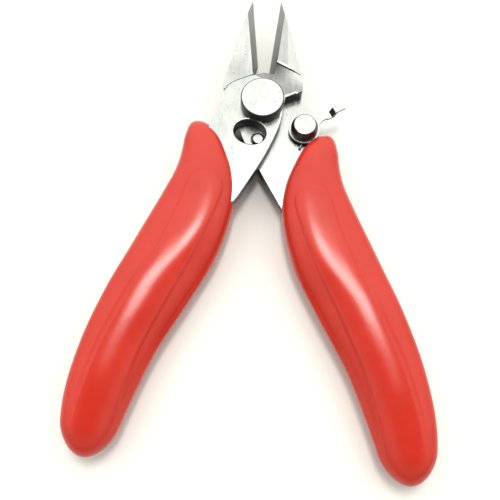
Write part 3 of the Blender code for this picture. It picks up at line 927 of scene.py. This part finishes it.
def lock_rivet():
    """The tapered head over the lever, the shank through the rear arm and the tail."""
    under_head = LEVER_HIGH + SEAT
    over_tail = -PLATE - SEAT
    tail_low = over_tail - LOCK_TAIL_HIGH
    profile = [
        (0.0, LOCK_HEAD_TOP),
        (LOCK_FACE_R - LOCK_RIM[0], LOCK_HEAD_TOP),
        (LOCK_FACE_R, LOCK_HEAD_TOP - LOCK_RIM[1]),
        (LOCK_HEAD_R, LOCK_HEAD_TOP - LOCK_CHAMFER),
        (LOCK_HEAD_R, under_head),
        (LOCK_SHANK_R, under_head),
        (LOCK_SHANK_R, over_tail),
        (LOCK_TAIL_R, over_tail),
        (LOCK_TAIL_R * LOCK_TAIL_FACE, tail_low),
        (0.0, tail_low),
    ]
    return turned("lock_rivet_fine", softened(profile, LOCK_ROUND))


# Lock lever and its spring


def lever_outline():
    """The eye and the arm, up to the line where the tab bends up."""
    eye = arc((0.0, 0.0), EYE_R, *EYE_ENDS, EYE_STEPS)
    return [*eye, *spline(ARM_OUT), ARM_CORNER, *spline(ARM_BACK)]


def tab_profile():
    """The tab from the side: it leaves the lever's level, rises and runs on level."""
    return [
        (-TAB_OVERLAP, LEVER_LOW),
        (TAB_FOOT[0], LEVER_LOW),
        (TAB_CREST[0], LEVER_LOW + TAB_RISE),
        (TAB_LENGTH, LEVER_LOW + TAB_RISE),
        (TAB_LENGTH, LEVER_HIGH + TAB_RISE),
        (TAB_CREST[1], LEVER_HIGH + TAB_RISE),
        (TAB_FOOT[1], LEVER_HIGH),
        (-TAB_OVERLAP, LEVER_HIGH),
    ]


def lock_lever():
    obj = prism("lock_lever_fine", lever_outline(), LEVER_LOW, LEVER_HIGH)
    base = Vector(TAB_FROM)
    out = Vector(TAB_TO) - base
    side = Vector((out.y, -out.x)).normalized() * TAB_WIDTH / 2
    combine(obj, [swept_profile("tab", tab_profile(), base + side, base - side, 0.0)], "UNION")
    round_hole = disc((0.0, 0.0), LOCK_SHANK_R + EYE_PLAY)
    combine(obj, [prism("lever_hole", round_hole, LEVER_LOW - OVERRUN, LEVER_HIGH + OVERRUN)])
    return rounded(obj, LEVER_ROUND)


def lock_spring():
    """A coil on the lock rivet, under the lever's eye. Its leg turns out and ends past the eye."""
    level = LEVER_LOW / 2
    points = []
    for k in range(COIL_STEPS):
        angle = LOCK_LEG_ANGLE - LOCK_COIL_TURN * (1 - k / COIL_STEPS)
        points.append((*on_circle(LOCK_COIL_R, angle), level))
    out = on_circle(1.0, LOCK_LEG_ANGLE)
    along = on_circle(1.0, LOCK_LEG_ANGLE + 90)
    bend_centre = out * (LOCK_COIL_R + LOCK_LEG_BEND)
    for turn in range(0, 91, 15):
        swing = on_circle(LOCK_LEG_BEND, turn)
        points.append((*(bend_centre - out * swing.x + along * swing.y), level))
    points.append((*(out * LOCK_LEG_REACH + along * LOCK_LEG_BEND), level))
    return wire("lock_spring_fine", points, LOCK_WIRE)


# Grips


def station(y, column):
    """One value of the grip at y, on a smooth curve through its stations."""
    rows = GRIP_STATIONS
    i = 0
    while i < len(rows) - 2 and y < rows[i + 1][0]:
        i += 1
    slopes = []
    for k in (i, i + 1):
        a = rows[max(k - 1, 0)]
        b = rows[min(k + 1, len(rows) - 1)]
        slopes.append((b[column] - a[column]) / (b[0] - a[0]))
    span = rows[i + 1][0] - rows[i][0]
    t = min(max((y - rows[i][0]) / span, 0.0), 1.0)
    start = rows[i][column] * (1 + 2 * t) * (1 - t) ** 2 + slopes[0] * span * t * (1 - t) ** 2
    end = rows[i + 1][column] * (3 - 2 * t) * t**2 + slopes[1] * span * (t - 1) * t**2
    return start + end


def smooth_step(value, low, high):
    t = min(max((value - low) / (high - low), 0.0), 1.0)
    return t * t * (3 - 2 * t)


def pad(across, y):
    """The raised pad's height over the plain grip, less the groove at its foot.

    Its upper end is round and its lower end fades. The groove fades towards the inner side.
    """
    above = max(0.0, y - (PAD_TOP_Y - PAD_HALF))
    distance = math.hypot(across - PAD_SHIFT, above) - PAD_HALF
    fade = smooth_step(y, PAD_LOW_Y, PAD_LOW_Y + PAD_FADE)
    rise = PAD_HEIGHT * fade * (1 - smooth_step(distance, -PAD_EDGE, PAD_EDGE))
    foot = (distance - PAD_EDGE) / PAD_GROOVE_HALF
    groove = PAD_GROOVE * fade * (1 - smooth_step(across - PAD_SHIFT, 0.0, PAD_HALF))
    return rise - groove * math.exp(-foot * foot)


def grip_ring(y, cap):
    """One section of the grip across Y. cap shrinks it where the ends are round."""
    centre = station(y, 1)
    width = station(y, 2)
    thick = station(y, 3)
    power = MOUTH_POWER + (BELLY_POWER - MOUTH_POWER) * smooth_step(-y, *BELLY_FROM_TO)
    lean = LEAN * smooth_step(-y, *LEAN_FROM_TO)
    ring = []
    for k in range(GRIP_SIDES):
        angle = 2 * math.pi * k / GRIP_SIDES
        c, s = math.cos(angle), math.sin(angle)
        x = math.copysign(abs(c) ** (2 / power), c) * width * cap
        z = math.copysign(abs(s) ** (2 / power), s) * thick * cap
        z += (pad(x, y) - lean * x * cap) * smooth_step(s, 0.0, SIDE_BLEND)
        z -= SOLE * smooth_step(-s, 0.0, SIDE_BLEND) * cap
        ring.append((centre + x, y, max(z, FLOOR)))
    return ring


def grip_body(name):
    """The grip as a loft of rings, closer together at its ends, which are closed by fans."""
    top = GRIP_STATIONS[0][0]
    low = GRIP_STATIONS[-1][0]
    bm = bmesh.new()
    loops = []
    for k in range(GRIP_RINGS):
        share = 0.5 - 0.5 * math.cos(math.pi * (k + 0.5) / GRIP_RINGS)
        y = top + (low - top) * share
        inside = min(top - y, y - low, GRIP_CAP)
        cap = math.sqrt(1 - (1 - inside / GRIP_CAP) ** 2)
        loops.append([bm.verts.new(point) for point in grip_ring(y, cap)])
    for a, b in zip(loops, loops[1:]):
        bridge(bm, a, b)
    for loop, y in ((loops[0], top), (loops[-1], low)):
        tip = bm.verts.new((station(y, 1), y, 0.0))
        for i in range(GRIP_SIDES):
            bm.faces.new([loop[i], loop[(i + 1) % GRIP_SIDES], tip])
    return new_object(name, to_mesh(name, bm))


def left_grip():
    """The grip on the front arm, with the cavity that the arm's tang takes up."""
    obj = grip_body("left_grip_fine")
    tang = arm_outline(FRONT_OUTER, FRONT_INNER, FRONT_JAW_ROOT)
    return combine(obj, [prism("tang_cavity", tang, LAP, PLATE)])


def right_grip():
    """The same grip, a little further down the rear arm's handle, before it is mirrored."""
    obj = grip_body("right_grip_fine")
    obj.data.transform(Matrix.Translation((0.0, -GRIP_SLIDE, 0.0)))
    tang = arm_outline(REAR_OUTER, REAR_INNER, FRONT_JAW_ROOT, GRIP_SLIDE)
    return combine(obj, [prism("tang_cavity", tang, -PLATE, -LAP)])


# Stage


def add_camera():
    """The camera over the tool, turned a little and tilted towards the handles."""
    tilt, turn = math.radians(CAMERA_TILT), math.radians(CAMERA_TURN)
    right = Vector((math.cos(turn), math.sin(turn), 0.0))
    back = Vector(
        (math.sin(turn) * math.sin(tilt), -math.cos(turn) * math.sin(tilt), math.cos(tilt))
    )
    camera = new_object("camera", bpy.data.cameras.new("camera"))
    camera.data.lens = CAMERA_LENS
    camera.data.clip_start = MM
    look = PIVOT + Vector((*LOOK_AT, 0.0)) * MM
    placed = Matrix((right, back.cross(right), back)).transposed().to_4x4()
    placed.translation = look + back * CAMERA_DISTANCE * MM
    camera.matrix_world = placed
    bpy.context.scene.camera = camera


def add_floor():
    """A sheet of pale paper just under the grips."""
    half = FLOOR_HALF * MM
    mesh = bpy.data.meshes.new("floor")
    corners = [(-half, -half, 0.0), (half, -half, 0.0), (half, half, 0.0), (-half, half, 0.0)]
    mesh.from_pydata(corners, [], [(0, 1, 2, 3)])
    made, tree, shader = start_material("floor_paper")
    tone = ramp(tree, noise_field(tree, (9.0,) * 3), NOISE_RANGE, FLOOR_TONES)
    tree.links.new(tone, shader.inputs["Base Color"])
    shader.inputs["Roughness"].default_value = 0.8
    mesh.materials.append(made)
    floor = new_object("floor", mesh)
    floor.location.z = -FLOOR_DROP * MM


def add_softbox():
    """A rectangular soft light beyond the jaws, aimed at the floor under the tool."""
    data = bpy.data.lights.new("softbox", "AREA")
    data.shape = "RECTANGLE"
    data.size, data.size_y = (side * MM for side in SOFTBOX_SIZE)
    data.energy = SOFTBOX_POWER
    data.color = SOFTBOX_COLOUR
    light = new_object("softbox", data)
    light.location = Vector(SOFTBOX_AT) * MM
    light.rotation_euler = (-light.location).to_track_quat("-Z", "Y").to_euler()


def add_world():
    """A white tent, brighter beyond the jaws, with a soft dark patch above the handles."""
    world = bpy.data.worlds.new("tent")
    bpy.context.scene.world = world
    world.use_nodes = True
    tree = world.node_tree
    sky = tree.nodes["Background"]
    spot = tree.nodes.new("ShaderNodeTexCoord")
    tilt = math.radians(PATCH_TILT)
    toward = {
        "patch": (0.0, -math.sin(tilt), math.cos(tilt)),
        "north": (0.0, 1.0, 0.0),
        "up": (0.0, 0.0, 1.0),
    }
    share = {}
    for name, direction in toward.items():
        dot = tree.nodes.new("ShaderNodeVectorMath")
        dot.operation = "DOT_PRODUCT"
        dot.inputs[1].default_value = direction
        tree.links.new(spot.outputs["Generated"], dot.inputs[0])
        share[name] = dot.outputs["Value"]
    rim, core = (math.cos(math.radians(angle)) for angle in PATCH_FADE)
    strength = spread(tree, share["patch"], 1.0, 0.0, rim, core)
    north = spread(tree, share["north"], *SKY_SOUTH_NORTH, -1.0, 1.0)
    high = spread(tree, share["up"], *SKY_LOW_HIGH, 0.0, 1.0)
    for factor in (north, high):
        product = tree.nodes.new("ShaderNodeMath")
        product.operation = "MULTIPLY"
        tree.links.new(strength, product.inputs[0])
        tree.links.new(factor, product.inputs[1])
        strength = product.outputs["Value"]
    tree.links.new(strength, sky.inputs["Strength"])
    sky.inputs["Color"].default_value = (*SKY_COLOUR, 1.0)


# The tool's pieces


def place_arms(front, rear):
    arm = front_arm()
    assign(
        arm,
        arm_finishes("front", front),
        lambda normal, centre: arm_face("front", normal, centre),
    )
    place(arm, front, "front", "front_arm", sharp=35.0)
    arm = rear_arm()
    assign(
        arm,
        arm_finishes("rear", rear),
        lambda normal, centre: arm_face("rear", normal, centre),
    )
    flip(arm.data)
    place(arm, rear, "rear", "rear_arm", sharp=35.0)


def by_slope(normal, centre):
    """The finish of a flat piece's face."""
    return "edge" if abs(normal.z) < FLAT_LOOKS_UP else "plate"


def by_rim(face_radius):
    """The finish of a turned piece's faces, of which the top one has this radius. The top's faces
    beyond it take the dark side tone, a painted shade ring round the edge.
    """

    def choose(normal, centre):
        rim = centre.z > 0 and centre.xy.length > face_radius
        return "edge" if rim or abs(normal.z) < TURNED_LOOKS_UP else "plate"

    return choose


def place_small_parts(centre, stop, lock):
    finishes = turned_finishes()
    for obj, to_world, body, node, choose in (
        (pivot_rivet(), centre, "front", "pivot_rivet", by_rim(HEAD_R - RIM_DARK)),
        (pivot_washer(), centre, "front", "pivot_washer", by_slope),
        (stop_pin(), stop, "rear", "stop_pin", by_rim(STOP_R - STOP_RIM)),
        (lock_rivet(), lock, "rear", "lock_rivet", by_rim(LOCK_FACE_R - LOCK_RIM[0])),
        (lock_lever(), lock, "lever", "lock_lever", by_slope),
    ):
        assign(obj, finishes, choose)
        place(obj, to_world, body, node)


def place_springs(lock):
    """The lock spring, and a finish for the return spring, which stays as it was packed."""
    finish = steel("spring_wire", WIRE_TONES, (0.3, 0.45), (900.0,) * 3)
    coil = lock_spring()
    coil.data.materials.append(finish)
    place(coil, lock, "rear", "lock_spring", sharp=35.0, flat=False)
    hidden = frame["nodes"]["return_spring"]
    hidden.data.materials.clear()
    hidden.data.materials.append(finish)


def place_grips(front, rear):
    skin = vinyl("red_vinyl_skin")
    left, right = left_grip(), right_grip()
    flip(right.data)
    for obj, to_world, body, node in (
        (left, front, "front", "left_grip"),
        (right, rear, "rear", "right_grip"),
    ):
        obj.data.materials.append(skin)
        place(obj, to_world, body, node, sharp=60.0, flat=False)


def main():
    centre = Matrix.Translation(PIVOT)
    half = math.radians(OPENING / 2)
    front = centre @ Matrix.Rotation(-half, 4, "Z")
    rear = centre @ Matrix.Rotation(half, 4, "Z")
    stop = rear @ Matrix.Translation(Vector((-STOP_AT[0], STOP_AT[1], 0.0)) * MM)
    lock = Matrix.Translation((*LOCK_SPOT[:2], PIVOT.z))
    add_camera()
    add_floor()
    add_world()
    add_softbox()
    place_arms(front, rear)
    place_small_parts(centre, stop, lock)
    place_springs(lock)
    place_grips(front, rear)
    bpy.context.scene.view_settings.view_transform = "Standard"


main()
bpy.context.view_layer.update()
